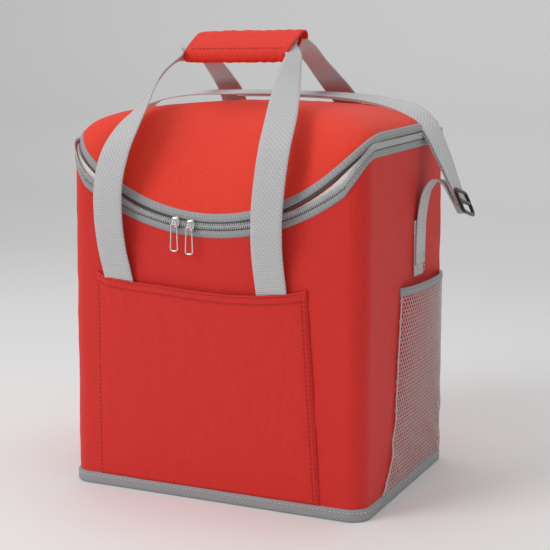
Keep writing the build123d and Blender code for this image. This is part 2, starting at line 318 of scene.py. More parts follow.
def stitches(name, path, material, body, length=0.0032, gap=0.0016, radius=0.00042, **options):
    """Row of sewn stitches lying along a list of points."""
    path = np.asarray(path, float)
    step = np.linalg.norm(np.diff(path, axis=0), axis=1)
    total = np.concatenate([[0], np.cumsum(step)])
    verts, faces = [], []
    at = gap
    while at + length < total[-1]:
        ends = [np.array([np.interp(d, total, path[:, k]) for k in range(3)]) for d in (at, at + length)]
        along = unit(ends[1] - ends[0])
        side = unit(np.cross(along, (0.3, 0.2, 0.93)))
        up = np.cross(side, along)
        base = len(verts)
        for t, r in ((0, 0.3), (0.2, 1), (0.8, 1), (1, 0.3)):
            middle = ends[0] + (ends[1] - ends[0]) * t
            for a in range(5):
                angle = a * math.tau / 5
                verts.append(middle + (side * math.cos(angle) + up * math.sin(angle)) * radius * r)
        for ring in range(3):
            for a in range(5):
                p, q = base + ring * 5 + a, base + ring * 5 + (a + 1) % 5
                faces.append((p, q, q + 5, p + 5))
        faces.append(tuple(base + a for a in range(4, -1, -1)))
        faces.append(tuple(base + 15 + a for a in range(5)))
        at += length + gap
    return make(name, verts, faces, material, body, **options)


def tube(name, path, radius, material, body, closed=False, sides=10, **options):
    """Round wire along points."""
    path = np.asarray(path, float)
    count = len(path)
    if closed:
        along = unit(np.roll(path, -1, 0) - np.roll(path, 1, 0))
    else:
        along = unit(np.gradient(path, axis=0))
    side = unit(np.cross(along, (0.05, 1.0, 0.07)))
    up = np.cross(side, along)
    verts, faces = [], []
    for i in range(count):
        for a in range(sides):
            angle = a * math.tau / sides
            verts.append(path[i] + (side[i] * math.cos(angle) + up[i] * math.sin(angle)) * radius)
    for i in range(count if closed else count - 1):
        j = (i + 1) % count
        for a in range(sides):
            b = (a + 1) % sides
            faces.append((i * sides + a, i * sides + b, j * sides + b, j * sides + a))
    if not closed:
        faces.append(tuple(range(sides - 1, -1, -1)))
        faces.append(tuple((count - 1) * sides + a for a in range(sides)))
    return make(name, verts, faces, material, body, **options)


def soft_noise(point, scale, seed=0.0):
    return noise.noise(Vector(point) * scale + Vector((seed, seed * 0.7, -seed)))


# Outline of the bag ---------------------------------------------------------
def outline(radius, inset=0.0):
    """Points and outward normals round the bag, from the middle of the back, left first."""
    points, normals = [], []
    w, d = HALF_W - inset, HALF_D - inset
    r = max(radius - inset, 0.004)

    def straight(a, b, count, normal):
        for t in np.linspace(0, 1, count, endpoint=False):
            points.append((a[0] + (b[0] - a[0]) * t, a[1] + (b[1] - a[1]) * t))
            normals.append(normal)

    def corner(cx, cy, start, count):
        for t in np.linspace(0, 1, count, endpoint=False):
            angle = math.radians(start + 90 * t)
            points.append((cx + r * math.cos(angle), cy + r * math.sin(angle)))
            normals.append((math.cos(angle), math.sin(angle)))

    straight((0, d), (-w + r, d), 20, (0, 1))
    corner(-w + r, d - r, 90, 14)
    straight((-w, d - r), (-w, -d + r), 40, (-1, 0))
    corner(-w + r, -d + r, 180, 14)
    straight((-w + r, -d), (w - r, -d), 70, (0, -1))
    corner(w - r, -d + r, 270, 14)
    straight((w, -d + r), (w, d - r), 40, (1, 0))
    corner(w - r, d - r, 0, 14)
    straight((w - r, d), (0, d), 20, (0, 1))
    return np.array(points), np.array(normals)


RIM_POINTS, RIM_NORMALS = outline(0.036)


def seam_height(x, y):
    """Height of the zip line round the bag."""
    level = RIM + 0.0005 + RIM_SLOPE * (y - DIP_BACK)
    if y > -0.095:
        return level
    dip = DIP_CENTRE - math.sqrt(max(DIP_RADIUS**2 - x * x, 0))
    return min(dip, level)


SEAM = np.array([seam_height(x, y) for x, y in RIM_POINTS])
for _ in range(3):
    SEAM = 0.25 * np.roll(SEAM, 1) + 0.5 * SEAM + 0.25 * np.roll(SEAM, -1)


wall_cache = {}


def wall_point(column, z, out=0.0):
    """Point on the body wall under one outline column."""
    v = np.clip(z / RIM, 0, 1)
    radius = 0.020 + 0.002 * v
    points, normals = wall_cache.setdefault(round(radius, 4), outline(round(radius, 4)))
    p, n = points[column], normals[column]
    sag = 0.0007 * soft_noise((p[0], p[1], z), 22, 3.1) + 0.0006 * soft_noise((p[0], p[1], z), 55, 8.0)
    out = out + sag * min(1, z / 0.03)
    return np.array([p[0] + n[0] * out, p[1] + n[1] * out, z])


COLUMNS = len(RIM_POINTS)


def body_walls():
    rows = 46
    outer, inner = [], []
    for r in range(rows):
        v = r / (rows - 1)
        row_out, row_in = [], []
        for c in range(COLUMNS):
            z = 0.0016 + (SEAM[c] - 0.0006 - 0.0016) * v
            row_out.append(wall_point(c, z))
            row_in.append(wall_point(c, z, -0.0013))
        outer.append(row_out)
        inner.append(row_in)
    piece = shell("body_walls_cloth", outer, inner, True, BODY_RED, BODY,
                  replaces=["outer_shell"], slot="body_fabric")


# Lid ------------------------------------------------------------------------
LID_MIDDLE = np.array([0.0, 0.020])


def lid_fullness(x, nx, ny):
    """Small values make the lid leave the zip line steeply."""
    front = 0.72 - 0.30 * min(1, abs(x) / 0.15) ** 2
    return nx * nx * 0.38 + ny * ny * (front if ny < 0 else 0.20)


LID_SHAPE = np.array([lid_fullness(p[0], n[0], n[1]) for p, n in zip(RIM_POINTS, RIM_NORMALS)])
for _ in range(6):
    LID_SHAPE = 0.25 * np.roll(LID_SHAPE, 1) + 0.5 * LID_SHAPE + 0.25 * np.roll(LID_SHAPE, -1)


def lid_point(column, s, drop=0.0):
    """Lid surface: s is 0 on the zip line and 1 at the middle of the crown."""
    start = RIM_POINTS[column]
    n = RIM_NORMALS[column]
    plan = LID_MIDDLE + (start - LID_MIDDLE) * (1 - s)
    q = LID_SHAPE[column]
    rise = s**q * (1 + q * (1 - s))
    top = LID_TOP - 0.006 * np.clip((plan[1] - 0.05) / 0.08, 0, 1) ** 2
    z = SEAM[column] + (top - SEAM[column]) * rise
    puff = 0.0010 * soft_noise((plan[0], plan[1], z), 18, 5.0)
    puff += 0.0006 * soft_noise((plan[0], plan[1], z), 60, 1.0)
    z += puff * min(1, s * 8) - drop * min(1, rise * 1.2)
    plan = plan - n * drop * (1 - s)
    return np.array([plan[0], plan[1], z])


def lid_track(column, distances):
    """Points and outward normals on the lid at distances up from the zip line."""
    fine = np.linspace(0, 0.35, 90) ** 1.5
    points = np.array([lid_point(column, s) for s in fine])
    run = np.concatenate([[0], np.cumsum(np.linalg.norm(np.diff(points, axis=0), axis=1))])
    at = np.array([[np.interp(d, run, points[:, k]) for k in range(3)] for d in distances])
    ahead = np.array([[np.interp(d + 0.002, run, points[:, k]) for k in range(3)] for d in distances])
    n = RIM_NORMALS[column]
    around = np.array([-n[1], n[0], 0])
    normal = unit(np.cross(around, unit(ahead - at)))
    flat = np.array([n[0], n[1], 0])
    normal = np.where((normal @ flat)[:, None] < 0, -normal, normal)
    return at, normal


def lid_skins():
    levels = np.concatenate([[0, 0.002, 0.006, 0.012, 0.02], np.linspace(0.03, 0.985, 44)])
    outer = [[lid_point(c, s) + (0, 0, 0.0006) for c in range(COLUMNS)] for s in levels]
    inner = [[lid_point(c, s, 0.0068) + (0, 0, 0.0006) for c in range(COLUMNS)] for s in levels]
    count = len(levels) * COLUMNS
    verts = np.concatenate([np.array(outer).reshape(-1, 3), np.array(inner).reshape(-1, 3)])
    faces = []
    for r in range(len(levels) - 1):
        for c in range(COLUMNS):
            d = (c + 1) % COLUMNS
            a, b = r * COLUMNS + c, r * COLUMNS + d
            faces.append((a, b, b + COLUMNS, a + COLUMNS))
            faces.append((count + a, count + a + COLUMNS, count + b + COLUMNS, count + b))
    for c in range(COLUMNS):
        d = (c + 1) % COLUMNS
        faces.append((c, count + c, count + d, d))
    end = (len(levels) - 1) * COLUMNS
    faces.append(tuple(end + c for c in range(COLUMNS)))
    faces.append(tuple(count + end + c for c in range(COLUMNS - 1, -1, -1)))
    piece = make("lid_padded_cloth", verts, faces, LID_RED_PAINTED_LIGHT, LID,
                 replaces=["lid_cover", "lid_insulation"], slot="lid_fabric")
    above = [[lid_point(c, s, 0.0074) for c in range(COLUMNS)] for s in levels[3:]]
    below = [[lid_point(c, s, 0.0082) for c in range(COLUMNS)] for s in levels[3:]]
    shell("lid_inner_liner", above, below, True, LINER, LID, replaces=["lid_liner"], slot="liner")


# Zip ------------------------------------------------------------------------
def zip_columns():
    """Outline columns that carry the zip, from the back left round to the back right."""
    return [c for c in range(COLUMNS) if RIM_POINTS[c][1] < 0.119]


def band(name, levels, lifts, upper, material, columns, **options):
    """Soft tape beside the zip: levels are distances from the zip line, lifts its crown."""
    outer, inner = [], []
    for c in columns:
        if upper:
            at, normal = lid_track(c, levels)
            at = at + (0, 0, 0.0006)
        else:
            at = np.array([wall_point(c, SEAM[c] - 0.0006 - d) for d in levels])
            n = RIM_NORMALS[c]
            normal = np.tile((n[0], n[1], 0), (len(levels), 1))
        ripple = 1 + BAND_RIPPLE * soft_noise(tuple(at[0]), 90, 2.0)
        outer.append(at + normal * (np.array(lifts) * ripple)[:, None])
        inner.append(at - normal * 0.0003)
    outer = np.array(outer).transpose(1, 0, 2)
    inner = np.array(inner).transpose(1, 0, 2)
    if upper:
        outer, inner = outer[::-1], inner[::-1]
    rows, cols = outer.shape[:2]
    run = np.concatenate([[0], np.cumsum(np.linalg.norm(np.diff(outer[0], axis=0), axis=1))])
    uv = [(run[c], r * 0.0015) for r in range(rows) for c in range(cols)]
    return shell(name, outer[::-1], inner[::-1], False, material,
                 LID if upper else BODY, uvs=uv + uv, **options)


def coil(name, sign, body, replaces):
    """Half of the zip chain: closely spaced nylon loops along the zip line."""
    columns = zip_columns()
    path = []
    for c in columns:
        n = RIM_NORMALS[c]
        p = wall_point(c, SEAM[c], 0.0010)
        path.append((*p, n[0], n[1]))
    path = np.array(path)
    run = np.concatenate([[0], np.cumsum(np.linalg.norm(np.diff(path[:, :3], axis=0), axis=1))])
    pitch = 0.0022
    verts, faces = [], []
    at = pitch * (0.5 if sign > 0 else 1.0)
    while at < run[-1] - pitch:
        p = np.array([np.interp(at, run, path[:, k]) for k in range(3)])
        q = np.array([np.interp(at + 0.001, run, path[:, k]) for k in range(3)])
        n = unit(np.array([np.interp(at, run, path[:, 3]), np.interp(at, run, path[:, 4]), 0]))
        along = unit(q - p)
        up = unit(np.cross(along, n)) * (1 if np.cross(along, n)[2] > 0 else -1) * sign
        centre = p + up * 0.0013
        base = len(verts)
        for t, r in ((-1, 0.35), (-0.6, 0.9), (0.5, 1.0), (1, 0.45)):
            for a in range(6):
                angle = a * math.tau / 6
                around = n * math.cos(angle) * 0.00085 + along * math.sin(angle) * 0.00078
                verts.append(centre + up * t * 0.0021 + around * r)
        for ring in range(3):
            for a in range(6):
                i, j = base + ring * 6 + a, base + ring * 6 + (a + 1) % 6
                faces.append((i, j, j + 6, i + 6))
        faces.append(tuple(base + a for a in range(5, -1, -1)))
        faces.append(tuple(base + 18 + a for a in range(6)))
        at += pitch
    return make(name, verts, faces, COIL, body, replaces=replaces, slot="zip_coil")


def zip_line():
    columns = zip_columns()
    tape = [0.0004, 0.002, 0.0045]
    thin = [0.0001, 0.0003, 0.0004]
    lower = [0.0036, 0.0042, 0.006, 0.0085, 0.0108, 0.0116]
    upper = [0.0036, 0.0042, 0.006, 0.009, 0.0120, 0.0130]
    crown = [0.0002, 0.0011, 0.0015, 0.0015, 0.0010, 0.0001]
    band("lower_zip_tape", tape, thin, False, TAPE, columns)
    band("upper_zip_tape", tape, thin, True, TAPE, columns)
    band("lower_zip_edge", lower, crown, False, BINDING, columns,
         replaces=["lower_zip_binding"], slot="binding")
    band("upper_zip_edge", upper, crown, True, BINDING, columns,
         replaces=["upper_zip_binding"], slot="binding")
    coil("lower_zip_chain", -1, BODY, ["lower_zip_coil"])
    coil("upper_zip_chain", 1, LID, ["upper_zip_coil"])
    rear = [c for c in range(COLUMNS) if RIM_POINTS[c][1] >= 0.116]
    half = [c for c in rear if c > COLUMNS / 2] + [c for c in rear if c < COLUMNS / 2]
    band("rear_hinge_tape", [0.0002, 0.001, 0.004, 0.008, 0.0104], [0.0002, 0.001, 0.0012, 0.001, 0.0001],
         False, BINDING, half, replaces=["rear_hinge_binding"], slot="binding")


# Base -----------------------------------------------------------------------
def base_edge():
    profile = [(0.0002, 0.0008), (0.0012, 0.0004), (0.0021, 0.0018), (0.0024, 0.005),
               (0.0023, 0.009), (0.0017, 0.0122), (0.0002, 0.0131)]
    outer, inner = [], []
    for out, z in profile:
        outer.append([wall_point(c, z, out) for c in range(COLUMNS)])
        inner.append([wall_point(c, z, -0.0004) for c in range(COLUMNS)])
    run = np.concatenate([[0], np.cumsum(np.linalg.norm(np.diff(np.array(outer[3]), axis=0), axis=1))])
    uv = [(run[c], z) for out, z in profile for c in range(COLUMNS)]
    shell("base_edge_binding", outer, inner, True, BINDING, BODY, replaces=["base_binding"],
          slot="binding", uvs=uv + uv)
    line = [wall_point(c, 0.0098, 0.0026) for c in range(COLUMNS)]
    stitches("base_edge_stitching", line, THREAD_GREY, BODY)


# Front pocket ---------------------------------------------------------------
def pocket_edges(z):
    """Left and right edge of the front pocket at a height."""
    t = np.clip((z - 0.013) / 0.223, 0, 1)
    return -0.138, 0.127 - 0.015 * t


def pocket_top(x):
    xs = [-0.138, -0.125, -0.094, -0.059, -0.008, 0.022, 0.055, 0.090, 0.113]
    zs = [0.2410, 0.2355, 0.2322, 0.2305, 0.2272, 0.2262, 0.2272, 0.2312, 0.2365]
    return np.interp(x, xs, zs)


def pocket_surface(u, v, lift=0.0):
    """Pocket face: u is left to right, v bottom to top."""
    base = 0.0128
    left, right = pocket_edges(base + v * 0.22)
    x = left + (right - left) * u
    z = base + (pocket_top(left + (0.112 - left) * u) - base) * v
    edge = min(u, 1 - u)
    stand = 0.0012 + 0.0042 * (1 - math.exp(-edge * 16)) * (0.35 + 0.65 * v)
    stand *= min(1, 0.35 + v * 5)
    crease = 0.0006 * soft_noise((x, 0, z), 26, 4.0) + 0.0005 * soft_noise((x * 3, 0, z), 40, 9.0)
    crease += 0.0004 * math.sin(v * 22 + 9 * u) * math.exp(-edge * 10)
    y = -HALF_D - stand - crease * min(1, edge * 20) - lift
    return np.array([x, max(y, -HALF_D - 0.0085), z])


def front_pocket_face():
    us = np.linspace(0, 1, 90)
    vs = np.concatenate([np.linspace(0, 0.94, 60), np.linspace(0.95, 1, 8)])
    outer, inner = [], []
    for v in vs:
        hem = 0.0009 * min(1, max(0, (v - 0.951) * 200))
        outer.append([pocket_surface(u, v, hem) for u in us])
        inner.append([pocket_surface(u, v) + (0, 0.0011, 0) for u in us])
    piece = shell("front_pocket_cloth", outer, inner, False, POCKET_RED, BODY,
                  replaces=["front_pocket", "front_pocket_hem"], slot="body_fabric")
    rows = [[pocket_surface(u, v, 0.0012) for u in np.linspace(0.01, 0.99, 120)] for v in (0.957, 0.989)]
    for i, row in enumerate(rows):
        stitches(f"front_pocket_hem_stitching_{i + 1}", row, THREAD_RED, BODY)
    for i, u in enumerate((0.008, 0.974, 0.990)):
        row = [pocket_surface(u, v, 0.0007) for v in np.linspace(0.01, 0.99, 110)]
        stitches(f"front_pocket_side_stitching_{i + 1}", row, THREAD_RED, BODY)


# Mesh pocket ----------------------------------------------------------------
def side_front_edge(z):
    return np.interp(z, [0.013, 0.033, 0.060, 0.085, 0.158, 0.218, 0.228],
                     [-0.080, -0.058, -0.050, -0.042, -0.035, -0.028, -0.027])


def side_surface(y, z, lift=0.0):
    front = side_front_edge(z)
    edge = max(0.0, min(y - front, 0.116 - y))
    stand = 0.0009 + 0.0105 * (1 - math.exp(-edge * 42)) * np.clip((z - 0.01) / 0.21, 0, 1) ** 1.3
    fold = 0.0016 * math.sin((z * 1.4 + y) * 95) * math.exp(-abs(z - 0.05) * 30) * math.exp(-edge * 25)
    return np.array([HALF_W + stand + max(fold, -0.0004) + lift, y, z])


def side_net():
    pitch = 0.0050
    side = pitch / math.sqrt(3)
    verts, faces, index = [], [], {}
    low, high = 0.0140, 0.2195
    row = 0
    z = low
    while z < high:
        y = -0.09 + (pitch / 2 if row % 2 else 0)
        while y < 0.116:
            if y > side_front_edge(z) + side and y < 0.1145:
                ring = []
                for k in range(6):
                    angle = math.radians(60 * k + 30)
                    py, pz = y + side * math.cos(angle), z + side * math.sin(angle)
                    key = (round(py, 5), round(pz, 5))
                    if key not in index:
                        index[key] = len(verts)
                        verts.append(side_surface(py, pz, 0.0004))
                    ring.append(index[key])
                faces.append(tuple(ring))
            y += pitch
        z += side * 1.5
        row += 1
    piece = make("side_pocket_net", verts, faces, NET, BODY, replaces=["side_mesh_pocket"], slot="mesh")
    wires = piece.modifiers.new("wires", "WIREFRAME")
    wires.thickness = 0.0011
    wires.use_replace = True
    wires.use_even_offset = False
    return piece


def side_pocket_trim():
    ys = np.linspace(-0.0285, 0.116, 70)
    profile = [(0.0003, 0.2178), (0.0014, 0.2186), (0.0017, 0.2222), (0.0014, 0.2258), (0.0003, 0.2268)]
    outer = [[side_surface(y, z, out) + (0, 0, 0.004 * (y + 0.0285)) for y in ys] for out, z in profile]
    inner = [[side_surface(y, z, -0.0006) + (0, 0, 0.004 * (y + 0.0285)) for y in ys] for out, z in profile]
    uv = [(y, z) for out, z in profile for y in ys]
    shell("side_pocket_top_edge", outer, inner, False, BINDING, BODY,
          replaces=["side_pocket_binding"], slot="binding", uvs=uv + uv)
    line = [side_surface(y, 0.2222, 0.0020) for y in ys]
    stitches("side_pocket_edge_stitching", line, THREAD_GREY, BODY)
    zs = np.linspace(0.014, 0.219, 60)
    seam = [side_surface(side_front_edge(z) + 0.002, z, 0.0008) for z in zs]
    tube("side_pocket_front_seam", seam, 0.0009, NET, BODY)
    back = [side_surface(0.1145, z, 0.0006) for z in zs]
    tube("side_pocket_rear_seam", back, 0.0009, NET, BODY)


# Handles --------------------------------------------------------------------
X_AXIS = (1, 0, 0)


def handle_legs():
    front_left = [
        (-0.108, -0.1333, 0.196, *X_AXIS, 0.035), (-0.108, -0.1340, 0.225, *X_AXIS, 0.035),
        (-0.110, -0.1375, 0.243, *X_AXIS, 0.035), (-0.113, -0.1430, 0.270, *X_AXIS, 0.035),
        (-0.114, -0.1480, 0.305, *X_AXIS, 0.035), (-0.112, -0.1490, 0.342, *X_AXIS, 0.035),
        (-0.107, -0.1410, 0.374, 1, 0, 0.05, 0.034), (-0.101, -0.1240, 0.400, 1, -0.1, 0.15, 0.031),
        (-0.098, -0.1040, 0.418, 0.9, -0.3, 0.3, 0.026), (-0.098, -0.0800, 0.436, 0.7, -0.5, 0.5, 0.020),
        (-0.100, -0.0580, 0.451, 0.7, -0.5, 0.6, 0.020), (-0.098, -0.0380, 0.464, 0.8, -0.2, 0.6, 0.021),
        (-0.091, -0.0190, 0.4765, 0.5, 0.5, 0.6, 0.020), (-0.078, -0.0100, 0.4855, 0.1, 0.75, 0.6, 0.020),
    ]
    front_right = [
        (0.0735, -0.1333, 0.196, *X_AXIS, 0.035), (0.0735, -0.1340, 0.222, *X_AXIS, 0.035),
        (0.0730, -0.1375, 0.240, *X_AXIS, 0.035), (0.0720, -0.1430, 0.270, *X_AXIS, 0.035),
        (0.0735, -0.1480, 0.305, *X_AXIS, 0.035), (0.0770, -0.1490, 0.342, *X_AXIS, 0.035),
        (0.0785, -0.1400, 0.378, 1, 0, -0.03, 0.035), (0.0750, -0.1160, 0.408, 1, 0.05, -0.08, 0.034),
        (0.0680, -0.0900, 0.430, 1, 0.1, -0.15, 0.031), (0.0600, -0.0640, 0.448, 1, 0.2, -0.25, 0.027),
        (0.0530, -0.0400, 0.463, 0.8, 0.5, -0.2, 0.022), (0.0460, -0.0190, 0.4765, 0.4, 0.8, 0.3, 0.018),
        (0.0360, -0.0100, 0.4855, 0.1, 0.75, 0.6, 0.018),
    ]
    rear_left = [
        (-0.109, 0.1333, 0.196, *X_AXIS, 0.035), (-0.109, 0.1345, 0.230, *X_AXIS, 0.035),
        (-0.112, 0.1390, 0.290, *X_AXIS, 0.035), (-0.111, 0.1410, 0.345, *X_AXIS, 0.035),
        (-0.106, 0.1400, 0.385, *X_AXIS, 0.035), (-0.100, 0.1300, 0.414, 1, 0, 0, 0.034),
        (-0.095, 0.1080, 0.435, 1, -0.1, 0.1, 0.032), (-0.092, 0.0800, 0.452, 1, -0.2, 0.2, 0.028),
        (-0.091, 0.0520, 0.469, 0.9, -0.3, 0.3, 0.024), (-0.088, 0.0260, 0.4840, 0.6, -0.6, 0.4, 0.020),
        (-0.078, 0.0040, 0.4900, 0.1, 0.75, 0.5, 0.020),
    ]
    rear_right = [
        (0.072, 0.1333, 0.196, *X_AXIS, 0.035), (0.072, 0.1345, 0.230, *X_AXIS, 0.035),
        (0.070, 0.1390, 0.290, *X_AXIS, 0.035), (0.068, 0.1410, 0.345, *X_AXIS, 0.035),
        (0.063, 0.1400, 0.385, *X_AXIS, 0.035), (0.057, 0.1280, 0.414, 1, 0, 0, 0.034),
        (0.050, 0.1060, 0.435, 1, 0.1, 0.1, 0.032), (0.045, 0.0780, 0.454, 1, 0.2, 0.1, 0.028),
        (0.042, 0.0500, 0.471, 0.9, 0.4, 0, 0.024), (0.040, 0.0250, 0.4850, 0.5, 0.8, 0.3, 0.019),
        (0.034, 0.0040, 0.4900, 0.1, 0.75, 0.5, 0.019),
    ]
    for name, control, body, side, nodes in (
        ("front_left_webbing", front_left, "front_handle", -1,
         ["front_handle_webbing", "front_handle_ends"]),
        ("front_right_webbing", front_right, "front_handle", -1,
         ["front_handle_webbing", "front_handle_ends"]),
        ("rear_left_webbing", rear_left, "rear_handle", 1, ["rear_handle_webbing", "rear_handle_ends"]),
        ("rear_right_webbing", rear_right, "rear_handle", 1, ["rear_handle_webbing", "rear_handle_ends"]),
    ):
        piece = strap(name, control, WEBBING, None, 0.0020, 120, 0.0, replaces=nodes, slot="webbing")
        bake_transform(piece)


def grip_place(x, along, out):
    """Point in the leaning grip: x, along its width, out from its middle."""
    lean = math.radians(38)
    middle_y = (GRIP_LOW[1] + GRIP_HIGH[1]) / 2
    middle_z = (GRIP_LOW[2] + GRIP_HIGH[2]) / 2
    y = middle_y + along * math.cos(lean) - out * math.sin(lean)
    z = middle_z + along * math.sin(lean) + out * math.cos(lean)
    return np.array([x, y, z])


def grip_bars():
    """The part of each handle that runs inside the grip."""
    for name, out, body in (("front_grip_webbing", 0.0046, "front_handle"),
                            ("rear_grip_webbing", 0.0, "rear_handle")):
        control = []
        for x in np.linspace(GRIP_LOW[0] + 0.002, GRIP_HIGH[0] - 0.002, 8):
            across = grip_place(0, 1, 0) - grip_place(0, 0, 0)
            control.append((*grip_place(x, 0, out), *across, 0.022))
        strap(name, control, WEBBING, body, 0.0020, 30, slot="webbing")


def wrap(name, profile, x_low, x_high, slant, pucker, thickness, material, body, **options):
    """Cloth wrapped along the grip: profile is (along, out) round the middle line."""
    line = curve_points([(a, o, 0) for a, o in profile], 40)[:, :2]
    tangent = unit(np.gradient(line, axis=0))
    normal = np.stack([-tangent[:, 1], tangent[:, 0]], axis=1)
    outer, inner = [], []
    for i, (along, out) in enumerate(line):
        row_out, row_in = [], []
        for k in range(64):
            t = k / 63
            x = x_low + (x_high - x_low) * t + slant * along
            end = math.exp(-min(t, 1 - t) * 30)
            ripple = pucker * soft_noise((x * 2.2, along, 0), 60, 6.0) * (0.3 + 0.7 * abs(i / 39 - 0.5) * 2)
            shrink = 1 - 0.05 * end
            a = along * shrink + normal[i][0] * ripple
            o = out * shrink + normal[i][1] * ripple
            row_out.append(grip_place(x, a + normal[i][0] * thickness / 2, o + normal[i][1] * thickness / 2))
            row_in.append(grip_place(x, a - normal[i][0] * thickness / 2, o - normal[i][1] * thickness / 2))
        outer.append(row_out)
        inner.append(row_in)
    return shell(name, outer, inner, False, material, body, **options)


def grip():
    sleeve = [(0.0185, 0.0022), (0.0195, -0.001), (0.016, -0.0042), (0.0, -0.005), (-0.016, -0.0042),
              (-0.0185, -0.001), (-0.0175, 0.0020)]
    piece = wrap("grip_sleeve_cloth", sleeve, GRIP_LOW[0], GRIP_HIGH[0], 0.0, 0.0006, 0.0016, GRIP_RED,
                 "rear_handle", replaces=["grip_sleeve"], slot="lid_fabric")
    flap = [(0.0195, -0.0052), (0.0222, -0.001), (0.0215, 0.0045), (0.016, 0.0082), (0.002, 0.0090),
            (-0.013, 0.0082), (-0.0205, 0.0052), (-0.0232, 0.000), (-0.0222, -0.0050)]
    piece = wrap("grip_flap_cloth", flap, GRIP_LOW[0] - 0.002, GRIP_HIGH[0] + 0.002, 0.18, 0.0016, 0.0020,
                 GRIP_RED, "flap", replaces=["grip_flap"], slot="lid_fabric")
    row = [grip_place(x, -0.0155, 0.0089) for x in np.linspace(GRIP_LOW[0] + 0.002, GRIP_HIGH[0] - 0.004, 60)]
    stitches("grip_flap_stitching", row, THREAD_RED, "flap")
    for node, along, name, body in (("loop_patch", -0.0194, "grip_loop_strip", "rear_handle"),
                                    ("hook_patch", -0.0210, "grip_hook_strip", "flap")):
        low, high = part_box(node)
        control = []
        for x in np.linspace(low[0], high[0], 6):
            across = grip_place(0, 0, 1) - grip_place(0, 0, 0)
            control.append((*grip_place(x, along, -0.0004), *across, 0.0052))
        strap(name, control, HOOK_LOOP, body, 0.0010, 24, replaces=[node], slot="hook_loop")


# Shoulder strap -------------------------------------------------------------
Y_AXIS = (0, 1, 0)


def shoulder_strap():
    long_path = [
        (-0.1772, 0.032, 0.2501, *Y_AXIS, 0.029), (-0.1785, 0.034, 0.2791, *Y_AXIS, 0.029),
        (-0.1850, 0.040, 0.3227, *Y_AXIS, 0.029), (-0.1935, 0.048, 0.3654, *Y_AXIS, 0.029),
        (-0.1930, 0.055, 0.3965, 0, 1, -0.1, 0.029), (-0.1810, 0.060, 0.4172, 0, 1, 0.12, 0.029),
        (-0.1600, 0.063, 0.4262, 0, 1, 0.15, 0.029), (-0.1200, 0.066, 0.4325, 0, 1, 0.15, 0.029),
        (-0.0600, 0.068, 0.4337, 0, 1, 0.15, 0.029), (0.0000, 0.068, 0.4335, 0, 1, 0.15, 0.029),
        (0.0600, 0.067, 0.4312, 0, 1, 0.15, 0.029), (0.1050, 0.065, 0.4270, 0, 1, 0.22, 0.029),
        (0.1380, 0.062, 0.4206, 0, 1, 0.32, 0.029), (0.1620, 0.058, 0.4120, 0, 1, 0.5, 0.029),
        (0.1800, 0.053, 0.3960, 0, 1, 0.6, 0.029), (0.1960, 0.048, 0.3690, 0, 1, 0.5, 0.029),
        (0.2100, 0.044, 0.3400, 0, 1, 0.2, 0.029), (0.2215, 0.040, 0.3150, 0, 1, -0.1, 0.029),
    ]
    piece = strap("long_shoulder_webbing", long_path, STRAP, None, 0.0019, 220,
                  replaces=["shoulder_strap"], slot="webbing")
    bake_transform(piece)
    tail_path = []
    for row in long_path[8:]:
        drop = 0.0024 if row[0] > 0.15 else 0.0019
        slope = np.interp(row[0], [-0.06, 0.10, 0.16, 0.22], [0.0, 0.2, 0.75, 0.88])
        shift = np.array([-slope, 0, -math.sqrt(1 - slope * slope)]) * drop
        tail_path.append((row[0] + shift[0], row[1] + 0.0005, row[2] + shift[2], *row[3:]))
    strap("shoulder_webbing_tail", tail_path, STRAP, "shoulder_strap_set", 0.0017, 110, slot="webbing")
    short = [
        (0.1772, 0.032, 0.246, *Y_AXIS, 0.029), (0.1776, 0.032, 0.275, *Y_AXIS, 0.029),
        (0.1785, 0.035, 0.305, *Y_AXIS, 0.029), (0.183, 0.040, 0.329, 0, 1, 0, 0.028),
        (0.1915, 0.043, 0.3385, 0, 1, -0.05, 0.027), (0.2010, 0.044, 0.3350, 0, 1, -0.1, 0.028),
        (0.2110, 0.043, 0.3210, 0, 1, -0.1, 0.029), (0.2215, 0.041, 0.3030, 0, 1, -0.1, 0.029),
    ]
    piece = strap("short_shoulder_webbing", short, STRAP, None, 0.0019, 90,
                  replaces=["short_strap"], slot="webbing")
    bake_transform(piece)
    for side, node in ((1, "strap_tab_right"), (-1, "strap_tab_left")):
        low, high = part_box(node)
        x = side * (HALF_W + 0.0011)
        control = [(x, 0.032, z, *Y_AXIS, 0.029) for z in np.linspace(low[2], high[2], 6)]
        strap(f"{node}_webbing", control, STRAP, BODY, 0.0019, 30, replaces=[node], slot="webbing")
        edge = x + side * 0.0036
        box = [(0.021, 0.238), (0.043, 0.238), (0.043, 0.258), (0.021, 0.258), (0.021, 0.238), (0.043, 0.258)]
        line = []
        for (ya, za), (yb, zb) in zip(box, box[1:]):
            line += [(edge, ya + (yb - ya) * t, za + (zb - za) * t) for t in np.linspace(0, 1, 12)]
        stitches(f"{node}_stitching", line, THREAD_GREY, BODY, radius=0.0005)


